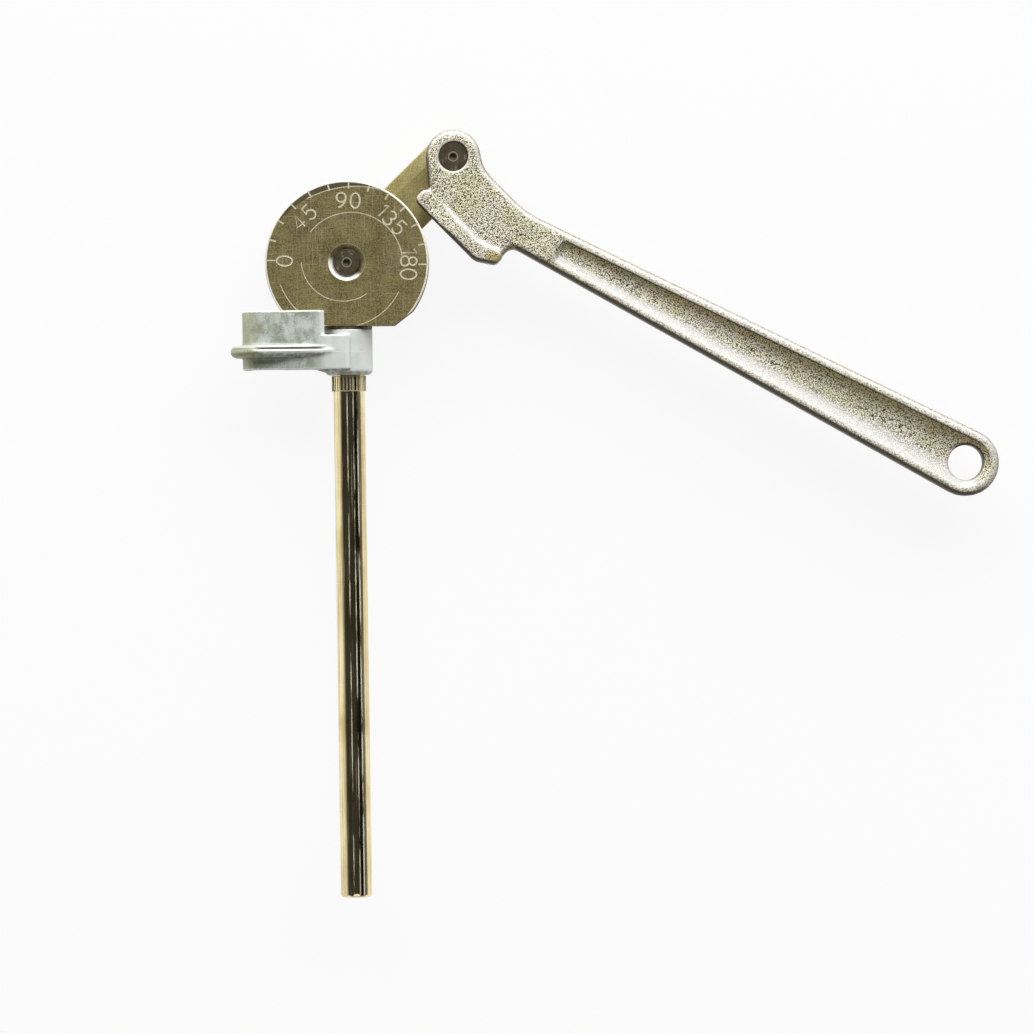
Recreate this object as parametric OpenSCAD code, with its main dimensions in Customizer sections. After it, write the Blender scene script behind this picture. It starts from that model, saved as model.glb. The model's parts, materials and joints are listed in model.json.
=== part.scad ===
// Hand lever tube bender, lying on its back.
// The origin is the bend centre, in the middle plane of the tube.
// +Z points out of the dial, and -Y runs down the handle rod.

/* [Tube] */
// Outside diameter of the tube that the tool bends
tube_d = 12; // [10:0.5:14]
// Clearance between the tube and the grooves that guide it
tube_gap = 0.1; // [0.05:0.05:0.3]

/* [Former] */
// Bend radius, measured to the middle of the tube
bend_r = 30.5; // [28:0.5:34]
// Height of the cheeks past the middle of the tube
cheek_rise = 0.6; // [0.3:0.1:1.5]
// Thickness of each cheek beside the groove
cheek_t = 3; // [2:0.25:4]
// Bevel on the rims of the cheeks
rim_bevel = 0.4; // [0.2:0.1:0.8]
// Depth of the foot past the bottom of the groove
foot_cut = 0.3; // [0.2:0.1:0.8]
// Direction that the relief flat faces
relief_angle = -53; // [-56:1:-48]
// Depth of the relief flat below the rim
relief_cut = 1.2; // [0.8:0.1:2]
// Width of the countersink round the centre pin
sink_d = 14; // [12:0.25:16]
// Depth of the countersink
sink_depth = 1.6; // [0.8:0.1:2.2]

/* [Pins] */
// Diameter of the centre pin in the former
centre_pin_d = 10.3; // [9:0.1:11.5]
// Diameter of the lever pin in the eye
lever_pin_d = 11; // [9:0.1:12]
// Diameter of the tails that the link turns on
tail_d = 8; // [6.5:0.25:8.5]
// Depth of the pin ends below the faces they show in
pin_recess = 0.4; // [0.2:0.1:0.8]
// Diameter of the centre mark in a pin end
mark_d = 2.4; // [1.5:0.1:3]
// Diameter of the riveted heads
rivet_d = 12; // [10:0.25:14]
// Height of the riveted heads
rivet_h = 1.8; // [1.2:0.1:2.5]

/* [Washers] */
// Thickness of the washer between the former and the link
thrust_t = 1.2; // [1:0.1:2]
// Outside diameter of the washers before and behind the link
washer_d = 18; // [15:0.5:20]
// Thickness of the washers under the riveted heads
rivet_washer_t = 1.5; // [1:0.1:2.5]
// Thickness of the washer between the foot and the hook
hook_washer_t = 1.2; // [0.5:0.1:1.5]

/* [Link] */
// Distance of the lever pin from the middle of the tube
pin_rise = 26.5; // [25:0.5:31]
// Width of the link
link_w = 21; // [19:0.5:24]
// Thickness of the link
link_t = 6; // [4:0.5:8]
// Direction of the link as stored, from +X
link_angle = 44; // [20:1:90]

/* [Lever] */
// Thickness of the lever
lever_t = 16; // [14:0.5:17]
// Rounding of the lever's edges
edge_r = 2.5; // [1.5:0.1:3]
// Radius of the eye
eye_r = 10.4; // [9.5:0.1:12]
// Height of the head's upper edge above the lever pin
head_top = 4.8; // [3.5:0.1:6]
// Radius of the hollow between the eye and the head
saddle_r = 14; // [8:0.5:18]
// Radius of the bend from the head into the grip
nape_r = 30; // [15:1:40]
// Angle of the grip to the pressing shoe
grip_angle = 17.6; // [15:0.1:20]
// Distance of the lever pin from the grip's axis
grip_drop = 13; // [12:0.1:14]
// Length from the lever pin to the hang hole, along the grip
grip_len = 226.5; // [190:0.5:260]
// Length from the lever pin to the neck, along the grip
neck_at = 50.6; // [49:0.1:56]
// Width of the neck
neck_w = 15.2; // [14:0.1:17]
// Radius of the grip's end
end_r = 12.7; // [11.5:0.1:14]
// Diameter of the hang hole
hang_d = 13.4; // [10:0.1:15]
// Width of the rims beside the trough
rim_w = 3; // [3:0.1:3.6]
// Depth of the trough at the neck
trough_neck = 2.2; // [1:0.1:2.6]
// Length of the ramp that leads into the trough at the neck
ramp_len = 1.8; // [1:0.1:4]
// Depth of the trough at the hang hole
trough_end = 3.6; // [2:0.1:4.2]

/* [Shoe] */
// Distance of the shoe's lips from the middle of the tube
lip_rise = 4.4; // [3.5:0.1:5]
// Distance of the shoe's near end from the lever pin, along the tube
shoe_start = 0.9; // [0.5:0.1:3]
// Length of the shoe
shoe_len = 39.5; // [36:0.5:41]
// Thickness that the shoe stands out past each face of the lever
shoe_rise = 1.5; // [1:0.1:1.8]
// Thickness that the shoe stands out at its near end
toe_rise = 0.2; // [0.1:0.05:0.4]
// Distance from the shoe's near end to where it starts to rise
fade_at = 7; // [4:0.5:10]
// Length over which the shoe rises to its full thickness
fade_len = 13; // [9:0.5:17]
// Length of the lead-in at the shoe's far end
shoe_lead = 6.8; // [5.5:0.1:7.4]
// Angle of the lead-in to the tube
lead_angle = 33; // [26:1:36]
// Width of the raised band along the shoe
shoe_band = 6.6; // [5.6:0.1:8]
// Width of the raised band at the shoe's far end
shoe_heel = 11.3; // [10.5:0.1:13]
// Rounding of the shoe's edges
shoe_edge_r = 1.6; // [0.8:0.1:1.8]
// Radius of the notch between the shoe and the grip
notch_r = 3.5; // [2:0.5:4]

/* [Hook] */
// Diameter of the boss that turns on the rod
boss_d = 18.4; // [17:0.1:21]
// Height of the boss along the rod
boss_h = 17.4; // [16:0.1:20]
// Rounding of the boss's lower edge
boss_edge_r = 2; // [1:0.1:3]
// Height of the hook's wall past the foot
hook_cover = 6; // [4:0.5:8]
// Gap between the former's face and the hook's front wall
hook_gap = 0.4; // [0.3:0.05:1]
// Thickness of the front wall
front_wall = 3.6; // [2.5:0.1:5]
// Thickness of the side wall
side_wall = 3.5; // [2.5:0.1:5]
// Radius of the corner between the walls
hook_corner_r = 8; // [5:0.5:10]
// Distance of the front wall's end from the rod's axis
wall_end = 8.8; // [7.5:0.1:9.5]
// Bevel at the front wall's end
wall_bevel = 1.5; // [1:0.1:3]
// Reach of the side wall behind the middle plane
hook_back = 7; // [5:0.5:8]
// Depth of the arm's upper face below the top of the boss
arm_drop = 2.1; // [1.6:0.1:3]
// Height of the arm
arm_h = 13; // [12:0.1:14]
// Rounding of the arm's end in front of the boss
arm_end_r = 3; // [1.5:0.1:3.5]
// Depth of the stiffening rib below the arm's upper face
rib_drop = 3.7; // [3:0.1:5]
// Height of the rib, rounded along its outer edge
rib_h = 4.6; // [3:0.1:5.5]
// Distance of the place where the rib sinks into the arm from the rod's axis
rib_end = 4.4; // [3.5:0.1:6]
// Distance that the rib stands out at the corner of the hook
rib_out = 4.6; // [2:0.1:5]
// Length of the gusset that runs from the arm into the boss
gusset_len = 3.4; // [2:0.1:5]

/* [Rod] */
// Diameter of the handle rod
rod_d = 12; // [11:0.1:13]
// Length of the rod below the foot
rod_len = 217.4; // [150:0.1:260]
// Rounding of the rod's end
rod_end_r = 1.5; // [0.5:0.1:3]
// Diameter of the spigot in the former
spigot_d = 10; // [8:0.1:10.5]
// Length of the spigot
spigot_len = 13; // [10:0.5:14]
// Length of the knurled band under the hook
knurl_len = 5.9; // [4:0.1:8]
// Gap between the hook and the knurled band
knurl_gap = 0.25; // [0.1:0.05:0.5]
// Height of the knurled band above the rod
knurl_rise = 0.25; // [0.15:0.05:0.4]
// Diameter of the pin that locks the spigot
lock_d = 4; // [3:0.1:5]

/* [Fits] */
// Radial clearance where one piece turns on another
run_gap = 0.05; // [0.02:0.01:0.1]
// Clearance between faces that slide on each other
face_gap = 0.05; // [0.05:0.01:0.1]
// Radial clearance where a piece is fixed in its seat
seat_gap = 0.02; // [0.01:0.01:0.03]

/* [Hidden] */
$fn = 72;

// Length that a shape runs past the face that it cuts or joins
past = 1;
// Steps in the rounding of an edge
edge_steps = 3;
// Largest angle between the points of a curved outline
arc_step = 15;
// Flats round the cutter of the trough
trough_flats = 60;

groove_r = tube_d / 2 + tube_gap;
former_half = groove_r + cheek_t;
cheek_r = bend_r + cheek_rise;
foot = bend_r - groove_r - foot_cut;

// The link lies behind the former, and the lever pin stands at its end
link_len = bend_r + pin_rise;
link_front = -former_half - thrust_t - face_gap;
link_back = link_front - link_t;
rivet_washer_front = link_back - face_gap;
rivet_front = rivet_washer_front - rivet_washer_t;
lever_place = [link_len * cos(link_angle), link_len * sin(link_angle), 0];
lever_half = lever_t / 2;

// Heights along the rod, measured down from the bend centre
boss_top = foot + hook_washer_t + face_gap;
boss_bottom = boss_top + boss_h;
wall_top = foot - hook_cover;
arm_top = boss_top + arm_drop;
arm_bottom = arm_top + arm_h;
rib_top = arm_top + rib_drop;
knurl_top = boss_bottom + knurl_gap;
rod_end = foot + rod_len;
lock_at = foot - spigot_len / 2;

function unit(v) = v / norm(v);
function turned(p, a) = [p.x * cos(a) - p.y * sin(a), p.x * sin(a) + p.y * cos(a)];
function along(a) = [cos(a), sin(a)];
function arc_points(a0, a1) = max(2, ceil(abs(a1 - a0) / arc_step));
function but_last(v) = [for (i = [0:len(v) - 2]) v[i]];

// Points on an arc from angle a0 to angle a1
function arc(centre, r, a0, a1) =
    let (n = arc_points(a0, a1))
    [for (i = [0:n]) centre + r * along(a0 + (a1 - a0) * i / n)];

// Points that round the corner at b, on the way from a to c
function corner(a, b, c, r) =
    let (u = unit(a - b),
         v = unit(c - b),
         half = acos(u * v) / 2,
         centre = b + unit(u + v) * r / sin(half),
         from = b + u * r / tan(half) - centre,
         turn = sign(cross(b - a, c - b)) * (180 - 2 * half),
         n = arc_points(0, turn))
    [for (i = [0:n]) centre + turned(from, turn * i / n)];

// Outline with every corner [x, y, radius] rounded
function rounded(v) =
    let (n = len(v), p = [for (q = v) [q[0], q[1]]])
    [for (i = [0:n - 1]) each corner(p[(i + n - 1) % n], p[i], p[(i + 1) % n], v[i][2])];

// Point where the line through p along angle a meets the line through q along angle b
function meet(p, a, q, b) = p + along(a) * cross(q - p, along(b)) / cross(along(a), along(b));

// Outline drawn in by d, counter-clockwise
function drawn_in(v, d) =
    let (n = len(v))
    [for (i = [0:n - 1])
        let (e = unit(v[i] - v[(i + n - 1) % n]),
             f = unit(v[(i + 1) % n] - v[i]),
             m = [-e.y, e.x],
             k = [-f.y, f.x])
        v[i] + d * (m + k) / (1 + m * k)];

// Whether p lies in the triangle a, b, c, which runs counter-clockwise
function within(p, a, b, c) =
    cross(b - a, p - a) >= 0 && cross(c - b, p - b) >= 0 && cross(a - c, p - c) >= 0;

// Numbers of the points of v, out of those in q, that lie in the triangle of points a, b and c
function points_within(v, q, a, b, c) =
    [for (k = q) if (k != a && k != b && k != c && within(v[k], v[a], v[b], v[c])) k];

// Triangles that fill the outline v through its points numbered in q, taken off corner by corner
function filled(v, q) =
    len(q) < 4 ? [q] :
    let (n = len(q),
         free = [for (i = [0:n - 1])
             let (a = q[(i + n - 1) % n], b = q[i], c = q[(i + 1) % n])
             if (cross(v[b] - v[a], v[c] - v[b]) > 0 && len(points_within(v, q, a, b, c)) == 0) i],
         i = free[0])
    concat([[q[(i + n - 1) % n], q[i], q[(i + 1) % n]]],
           filled(v, [for (k = [0:n - 1]) if (k != i) q[k]]));

// Plate of thickness t in the middle plane, with its edges rounded by r
module rounded_plate(outline, t, r) {
    n = len(outline);
    lower = [for (i = [0:edge_steps]) 90 * i / edge_steps];
    rings = concat([for (a = lower) [r * (1 - sin(a)), r * (1 - cos(a)) - t / 2]],
                   [for (i = [0:edge_steps])
                       let (a = lower[edge_steps - i])
                       [r * (1 - sin(a)), t / 2 - r * (1 - cos(a))]]);
    last = len(rings) - 1;
    points = [for (ring = rings) each [for (p = drawn_in(outline, ring[0])) [p.x, p.y, ring[1]]]];
    sides = [for (k = [0:last - 1], i = [0:n - 1])
        let (a = k * n + i, b = k * n + (i + 1) % n)
        each [[a, a + n, b + n], [a, b + n, b]]];
    fill = filled(drawn_in(outline, r), [for (i = [0:n - 1]) i]);
    top = [for (f = fill) last * n * [1, 1, 1] + [f[2], f[1], f[0]]];
    polyhedron(points, concat(sides, fill, top));
}

// Extrusion towards -Y, from d0 to d1 below the origin, drawn in the plane of X and Z
module down_y(d0, d1) {
    rotate([90, 0, 0])
        translate([0, 0, d0])
            linear_extrude(d1 - d0)
                children();
}

module ring(d, hole_r, z0, z1) {
    translate([0, 0, z0])
        difference() {
            cylinder(h = z1 - z0, d = d);
            translate([0, 0, -past])
                cylinder(h = z1 - z0 + 2 * past, r = hole_r);
        }
}

// Former: grooved disc, cut flat at the foot and relieved beyond the last mark
module former() {
    color([0.45, 0.41, 0.29])
        difference() {
            rotate_extrude()
                polygon([[0, -former_half], [cheek_r - rim_bevel, -former_half],
                         [cheek_r, rim_bevel - former_half], [cheek_r, former_half - rim_bevel],
                         [cheek_r - rim_bevel, former_half], [0, former_half]]);
            rotate_extrude()
                translate([bend_r, 0])
                    circle(groove_r);
            translate([-cheek_r, -foot - cheek_r, -former_half - past])
                cube([2 * cheek_r, cheek_r, 2 * (former_half + past)]);
            rotate(relief_angle)
                translate([cheek_r - relief_cut, -cheek_r, -former_half - past])
                    cube([cheek_r, 2 * cheek_r, 2 * (former_half + past)]);
            cylinder(h = 2 * (former_half + past), d = centre_pin_d + 2 * seat_gap, center = true);
            translate([0, 0, former_half - sink_depth])
                cylinder(h = sink_depth + past, d1 = centre_pin_d,
                         d2 = sink_d + (sink_d - centre_pin_d) * past / sink_depth);
            down_y(foot - spigot_len - seat_gap, foot + past)
                circle(spigot_d / 2 + seat_gap);
            lock_bore();
        }
}

// Blind bore of the lock pin, from the former's back through the spigot
module lock_bore() {
    translate([0, -lock_at, -former_half - past])
        cylinder(h = former_half + past + spigot_d / 4 + seat_gap, d = lock_d + 2 * seat_gap);
}

// Pin with a marked end in front and a riveted tail behind the link
module pin(d, front, back) {
    r = d / 2;
    tail_r = tail_d / 2;
    mark_r = mark_d / 2;
    rivet_r = rivet_d / 2;
    rivet_back = rivet_front - rivet_h;
    rotate_extrude()
        polygon([[0, front - mark_r / 2], [mark_r, front], [r - pin_recess, front],
                 [r, front - pin_recess], [r, back], [tail_r, back], [tail_r, rivet_front],
                 [rivet_r, rivet_front], [rivet_r, rivet_front - rivet_h / 3],
                 [rivet_r - rivet_h / 2, rivet_back], [0, rivet_back]]);
}

module centre_pin() {
    color([0.2, 0.18, 0.14])
        pin(centre_pin_d, former_half - pin_recess, -former_half);
}

module centre_thrust_washer() {
    color([0.35, 0.33, 0.28])
        ring(washer_d, tail_d / 2 + seat_gap, -former_half - thrust_t, -former_half);
}

module centre_rivet_washer() {
    color([0.35, 0.33, 0.28])
        ring(washer_d, tail_d / 2 + seat_gap, rivet_front, rivet_washer_front);
}

// Link: flat bar with round ends, turning on the tails of both pins
module link_plate() {
    r = link_w / 2;
    bar = concat(arc([0, 0], r, 90, 270), arc([link_len, 0], r, -90, 90));
    color([0.52, 0.48, 0.3])
        rotate(link_angle)
            difference() {
                translate([0, 0, link_back])
                    linear_extrude(link_t)
                        polygon(bar);
                for (x = [0, link_len])
                    translate([x, 0, link_back - past])
                        cylinder(h = link_t + 2 * past, r = tail_d / 2 + run_gap);
            }
}

// The lever is drawn about its pin, with X along the tube and Y away from the bend
grip_foot = grip_drop * along(grip_angle - 90);
grip_end = grip_foot + grip_len * along(grip_angle);
neck_r = neck_w / 2;
flare = asin((end_r - neck_r) / (grip_len - neck_at));
upper_side = grip_angle + 90 + flare;
lower_side = grip_angle - 90 - flare;
tube_line = -pin_rise;
lip = tube_line + lip_rise;
shoe_end = shoe_start + shoe_len;
// Distance of the lever's own outline inside the shoe
shoe_margin = 0.6;
// Rounding of the lever's outline inside the shoe
hidden_r = 4;
// Rounding of the shoe's sharp corners, and of its shallow ones
toe_r = 2.4;
heel_r = 5;
lead_rise = shoe_lead * tan(lead_angle);
// Direction of the flank from the eye to the shoe
flank = 230;

function lever_outline() =
    let (upper = grip_end + end_r * along(upper_side),
         lower = grip_end + end_r * along(lower_side),
         nape = meet(upper, upper_side + 90, [0, head_top], 0),
         reach = eye_r + saddle_r,
         saddle = [sqrt(pow(reach, 2) - pow(head_top + saddle_r, 2)), head_top + saddle_r],
         saddle_angle = atan2(saddle.y, saddle.x),
         cheek = eye_r * along(flank),
         base = lip + shoe_margin,
         toe = meet(cheek, flank + 90, [0, base], 0),
         lead = [shoe_end - shoe_lead, base],
         far = [shoe_end - shoe_margin, base + lead_rise],
         notch = meet(far, 90, lower, lower_side + 90))
    concat(arc([0, 0], eye_r, saddle_angle, flank),
           corner(cheek, toe, lead, hidden_r),
           corner(toe, lead, far, heel_r),
           corner(lead, far, notch, hidden_r),
           corner(far, notch, lower, notch_r),
           arc(grip_end, end_r, lower_side, upper_side),
           corner(upper, nape, [saddle.x, head_top], nape_r),
           but_last(arc(saddle, saddle_r, 270, 180 + saddle_angle)));

function shoe_outline() =
    rounded([[shoe_start, lip, toe_r],
             [shoe_end - shoe_lead, lip, heel_r],
             [shoe_end, lip + lead_rise, toe_r],
             [shoe_end, lip + shoe_heel, toe_r],
             [shoe_end - shoe_heel / 2, lip + (shoe_heel + shoe_band) / 2 - shoe_margin, heel_r],
             [shoe_end - shoe_heel, lip + shoe_band, heel_r],
             [shoe_start, lip + shoe_band, toe_r]]);

// Shoe: raised band along the tube, nearly flush with the lever at its near end
module shoe() {
    rise_at = shoe_start + fade_at;
    reach = shoe_end + past;
    flush = lever_half + toe_rise;
    high = flush + (reach - rise_at) * (shoe_rise - toe_rise) / fade_len;
    intersection() {
        rounded_plate(shoe_outline(), lever_t + 2 * shoe_rise, shoe_edge_r);
        down_y(-lip - shoe_heel - past, past - lip)
            polygon([[shoe_start - past, -flush], [rise_at, -flush], [reach, -high],
                     [reach, high], [rise_at, flush], [shoe_start - past, flush]]);
    }
}

// Height above a face of the centre of a ball that cuts d deep and b to each side
function ball_height(b, d) = (b * b - d * d) / (2 * d);

// Trough of the grip: a flaring cone, with a short ramp at the neck and a ball at the end
module trough() {
    b1 = neck_r - rim_w;
    b2 = end_r - rim_w;
    h1 = ball_height(b1, trough_neck);
    h2 = ball_height(b2, trough_end);
    r1 = h1 + trough_neck;
    r2 = h2 + trough_end;
    start = grip_foot + (neck_at + ramp_len) * along(grip_angle);
    run = grip_len - neck_at - ramp_len;
    pitch = atan2(h2 - h1, run);
    tip = ramp_len * r1 / trough_neck;
    translate([start.x, start.y, lever_half + h1])
        rotate([0, 90 - pitch, grip_angle])
            hull() {
                translate([0, 0, -tip])
                    cylinder(h = tip, r1 = 0, r2 = r1, $fn = trough_flats);
                translate([0, 0, norm([run, h2 - h1])])
                    sphere(r2, $fn = trough_flats);
            }
}

// Lever: eye, pressing shoe and grip in one casting
module lever() {
    color([0.72, 0.7, 0.6])
        translate(lever_place)
            rotate(link_angle - 90)
                difference() {
                    union() {
                        rounded_plate(lever_outline(), lever_t, edge_r);
                        shoe();
                    }
                    cylinder(h = lever_t + 2 * past, d = lever_pin_d + 2 * seat_gap, center = true);
                    translate([grip_end.x, grip_end.y, 0])
                        cylinder(h = lever_t + 2 * past, d = hang_d, center = true);
                    translate([shoe_start - past, tube_line, 0])
                        rotate([0, 90, 0])
                            cylinder(h = shoe_len + 2 * past, r = groove_r);
                    trough();
                    mirror([0, 0, 1])
                        trough();
                }
}

module lever_pin() {
    color([0.2, 0.18, 0.14])
        translate(lever_place)
            pin(lever_pin_d, lever_half - pin_recess, -lever_half);
}

module lever_thrust_washer() {
    color([0.35, 0.33, 0.28])
        translate(lever_place)
            ring(washer_d, tail_d / 2 + seat_gap, link_front + face_gap, -lever_half);
}

module lever_rivet_washer() {
    color([0.35, 0.33, 0.28])
        translate(lever_place)
            ring(washer_d, tail_d / 2 + seat_gap, rivet_front, rivet_washer_front);
}

// The hook is drawn looking down the rod, with X across and Y towards the dial
hook_inner = former_half + hook_gap;
hook_front = hook_inner + front_wall;
hook_left = -bend_r - groove_r - side_wall;
slot_left = -bend_r - groove_r;
slot_right = groove_r - bend_r;
boss_r = boss_d / 2;
corner_at = [hook_left + hook_corner_r, hook_front - hook_corner_r];
// Distance that the arm's end runs past the rod's axis
arm_past = 0.5;
// Fall of the rib towards its outer edge behind the tube
rib_fade = 4;

// Front and side wall beside the former
module hook_walls() {
    polygon(concat([[-wall_end, hook_inner], [-wall_end, hook_front - wall_bevel],
                    [-wall_end - wall_bevel, hook_front]],
                   arc(corner_at, hook_corner_r, 90, 180),
                   [[hook_left, -hook_back], [slot_left, -hook_back], [slot_left, hook_inner]]));
}

// Arm from the boss to the walls, below the former
module hook_arm() {
    end_at = [arm_past - arm_end_r, hook_front - arm_end_r];
    polygon(concat([[arm_past, 0]], arc(end_at, arm_end_r, 0, 90),
                   arc(corner_at, hook_corner_r, 90, 180),
                   [[hook_left, -hook_back], [-bend_r, -hook_back], [slot_right, 0],
                    [-boss_r / 2, -boss_r * 3 / 4]]));
}

// Section of the rib, with X measured from the axis of the hook's corner
module rib_section() {
    r = rib_h / 2;
    root = hook_corner_r - front_wall / 2;
    polygon(concat(arc([hook_corner_r + rib_out - r, 0], r, -90, 90), [[root, r], [root, -r]]));
}

// Rib round the corner of the hook, sinking into the arm on its way to the boss
module hook_rib() {
    reach = hook_corner_r + rib_out;
    tip = [-rib_end, hook_front] - corner_at;
    turn = atan2(tip.y, tip.x) + acos(reach / norm(tip));
    front = sqrt(tip * tip - reach * reach) + arm_end_r / 2;
    side = corner_at.y + hook_back;
    intersection() {
        translate([corner_at.x, -rib_top - rib_h / 2, corner_at.y])
            rotate([90, 0, 0]) {
                rotate(turn) {
                    rotate_extrude(angle = 180 - turn)
                        rib_section();
                    rotate([90, 0, 0])
                        linear_extrude(front)
                            rib_section();
                }
                rotate(180)
                    translate([0, side, 0])
                        rotate([90, 0, 0])
                            linear_extrude(side)
                                rib_section();
            }
        down_y(rib_top - past, rib_top + rib_h + past)
            polygon([[0, -hook_back], [hook_left, -hook_back],
                     [hook_left - 2 * rib_out, 2 * rib_fade - hook_back],
                     [hook_left - 2 * rib_out, hook_front + 2 * rib_out],
                     [0, hook_front + 2 * rib_out]]);
    }
}

// Gusset below the arm, running out on the lower edge of the boss
module hook_gusset() {
    half = boss_r / 2;
    low = boss_bottom - boss_edge_r / 4;
    translate([0, 0, -half])
        linear_extrude(2 * half)
            polygon([[0, -arm_bottom + past], [0, -low], [boss_edge_r - boss_r, -low],
                     [-boss_r - gusset_len, -arm_bottom], [-boss_r - gusset_len, -arm_bottom + past]]);
}

// Passage for the tube, open behind so that the hook swings off it
module tube_slot() {
    polygon(concat(arc([-bend_r, 0], groove_r, 0, 180),
                   [[slot_left, -hook_back - past], [slot_right, -hook_back - past]]));
}

// Boss that turns on the rod, with its lower edge rounded
module hook_boss() {
    r = boss_edge_r;
    rotate([90, 0, 0])
        rotate_extrude()
            polygon(concat([[0, boss_top], [boss_r, boss_top]],
                           arc([boss_r - r, boss_bottom - r], r, 0, 90), [[0, boss_bottom]]));
}

// Hook: casting that turns on the rod and holds the tube against the former
module hook() {
    color([0.72, 0.74, 0.72])
        difference() {
            union() {
                hook_boss();
                down_y(wall_top, arm_top)
                    hook_walls();
                down_y(arm_top, arm_bottom)
                    hook_arm();
                hook_rib();
                hook_gusset();
            }
            down_y(boss_top - past, boss_bottom + past)
                circle(rod_d / 2 + run_gap);
            down_y(arm_top - past, arm_bottom + past)
                tube_slot();
        }
}

module hook_washer() {
    color([0.22, 0.2, 0.17])
        down_y(foot, foot + hook_washer_t)
            difference() {
                circle(boss_r);
                circle(rod_d / 2 + seat_gap);
            }
}

// Handle rod: spigot, plain bar and the knurled band that keeps the hook up
module handle_rod() {
    r = rod_d / 2;
    band_r = r + knurl_rise;
    spigot_r = spigot_d / 2;
    color([0.62, 0.56, 0.34])
        difference() {
            rotate([90, 0, 0])
                rotate_extrude()
                    polygon(concat([[0, foot - spigot_len], [spigot_r, foot - spigot_len],
                                    [spigot_r, foot], [r, foot], [r, knurl_top],
                                    [band_r, knurl_top + knurl_rise],
                                    [band_r, knurl_top + knurl_len - knurl_rise],
                                    [r, knurl_top + knurl_len]],
                                   arc([r - rod_end_r, rod_end - rod_end_r], rod_end_r, 0, 90),
                                   [[0, rod_end]]));
            lock_bore();
        }
}

// Pin through the former's back into the spigot
module rod_lock_pin() {
    color([0.3, 0.28, 0.25])
        translate([0, -lock_at, -former_half])
            cylinder(h = former_half + spigot_d / 4, d = lock_d);
}

former();
centre_pin();
centre_thrust_washer();
centre_rivet_washer();
handle_rod();
rod_lock_pin();
hook_washer();
link_plate();
lever();
lever_pin();
lever_thrust_washer();
lever_rivet_washer();
hook();
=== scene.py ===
import json
import math
import bmesh
import bpy
import numpy as np
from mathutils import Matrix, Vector


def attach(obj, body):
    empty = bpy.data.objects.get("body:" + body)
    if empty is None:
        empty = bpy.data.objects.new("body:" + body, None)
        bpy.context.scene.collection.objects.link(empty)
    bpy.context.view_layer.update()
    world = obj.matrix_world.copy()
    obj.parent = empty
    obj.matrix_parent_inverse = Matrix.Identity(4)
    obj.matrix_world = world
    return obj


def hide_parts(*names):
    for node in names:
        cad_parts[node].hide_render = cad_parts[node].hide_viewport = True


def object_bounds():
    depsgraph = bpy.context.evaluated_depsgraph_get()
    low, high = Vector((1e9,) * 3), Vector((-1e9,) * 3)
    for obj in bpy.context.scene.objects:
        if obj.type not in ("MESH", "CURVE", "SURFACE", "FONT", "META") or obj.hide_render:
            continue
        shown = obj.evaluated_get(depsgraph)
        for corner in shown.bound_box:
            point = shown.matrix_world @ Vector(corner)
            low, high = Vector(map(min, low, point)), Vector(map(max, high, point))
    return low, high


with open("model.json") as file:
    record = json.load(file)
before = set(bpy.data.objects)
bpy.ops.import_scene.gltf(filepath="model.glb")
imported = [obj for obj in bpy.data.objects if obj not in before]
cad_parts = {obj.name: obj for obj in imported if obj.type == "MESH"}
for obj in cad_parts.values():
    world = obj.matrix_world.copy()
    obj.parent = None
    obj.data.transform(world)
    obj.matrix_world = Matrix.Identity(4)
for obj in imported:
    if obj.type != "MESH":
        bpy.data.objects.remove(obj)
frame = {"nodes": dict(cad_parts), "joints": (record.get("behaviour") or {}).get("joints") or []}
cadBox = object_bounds()
nodes = frame["nodes"]
mm = 0.001
print("frame loaded:", len(nodes), "solids")


class Wire:  # a node's socket, so that sums and products can be written on it
    def __init__(self, wiring, socket):
        self.wiring = wiring
        self.socket = socket

    def math(self, operation, first, second=0.0):
        return self.wiring.node("ShaderNodeMath", {"operation": operation}, {0: first, 1: second})

    def __add__(self, other):
        return self.math("ADD", self, other)

    __radd__ = __add__

    def __sub__(self, other):
        return self.math("SUBTRACT", self, other)

    def __rsub__(self, other):
        return self.math("SUBTRACT", other, self)

    def __mul__(self, other):
        return self.math("MULTIPLY", self, other)

    __rmul__ = __mul__

    def __abs__(self):
        return self.math("ABSOLUTE", self)

    def most(self, other):
        return self.math("MAXIMUM", self, other)


def weighed(shares, *wires):  # each wire times its share, added up
    total, *others = [wire * share for wire, share in zip(wires, shares)]
    for other in others:
        total = total + other
    return total


class Wiring:  # one node tree, of a finish or of a shape
    def __init__(self, tree):
        self.tree = tree

    def node(self, kind, settings=None, inputs=None, out=0):
        made = self.tree.nodes.new(kind)
        for key, value in (settings or {}).items():
            if key == "stops":
                for index, (place, colour) in enumerate(value):
                    elements = made.color_ramp.elements
                    element = elements[index] if index < 2 else elements.new(place)
                    element.position = place
                    element.color = (*colour, 1)
            else:
                setattr(made, key, value)
        for key, value in (inputs or {}).items():
            socket = self.find(made.inputs, key)
            if isinstance(value, Wire):
                self.tree.links.new(value.socket, socket)
            else:
                socket.default_value = value
        return Wire(self, self.find(made.outputs, out)) if made.outputs else None

    def find(self, sockets, key):
        if isinstance(key, int):
            return sockets[key]
        return next(s for s in sockets if key in (s.identifier, s.name))

    def axis(self, letter, place):
        return self.node("ShaderNodeSeparateXYZ", {}, {0: place}, letter)

    def rise(self, value, low, high, bottom=0.0, top=1.0):
        return self.node("ShaderNodeMapRange", {"interpolation_type": "SMOOTHSTEP"}, {
            "Value": value, "From Min": low, "From Max": high, "To Min": bottom, "To Max": top})


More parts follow.
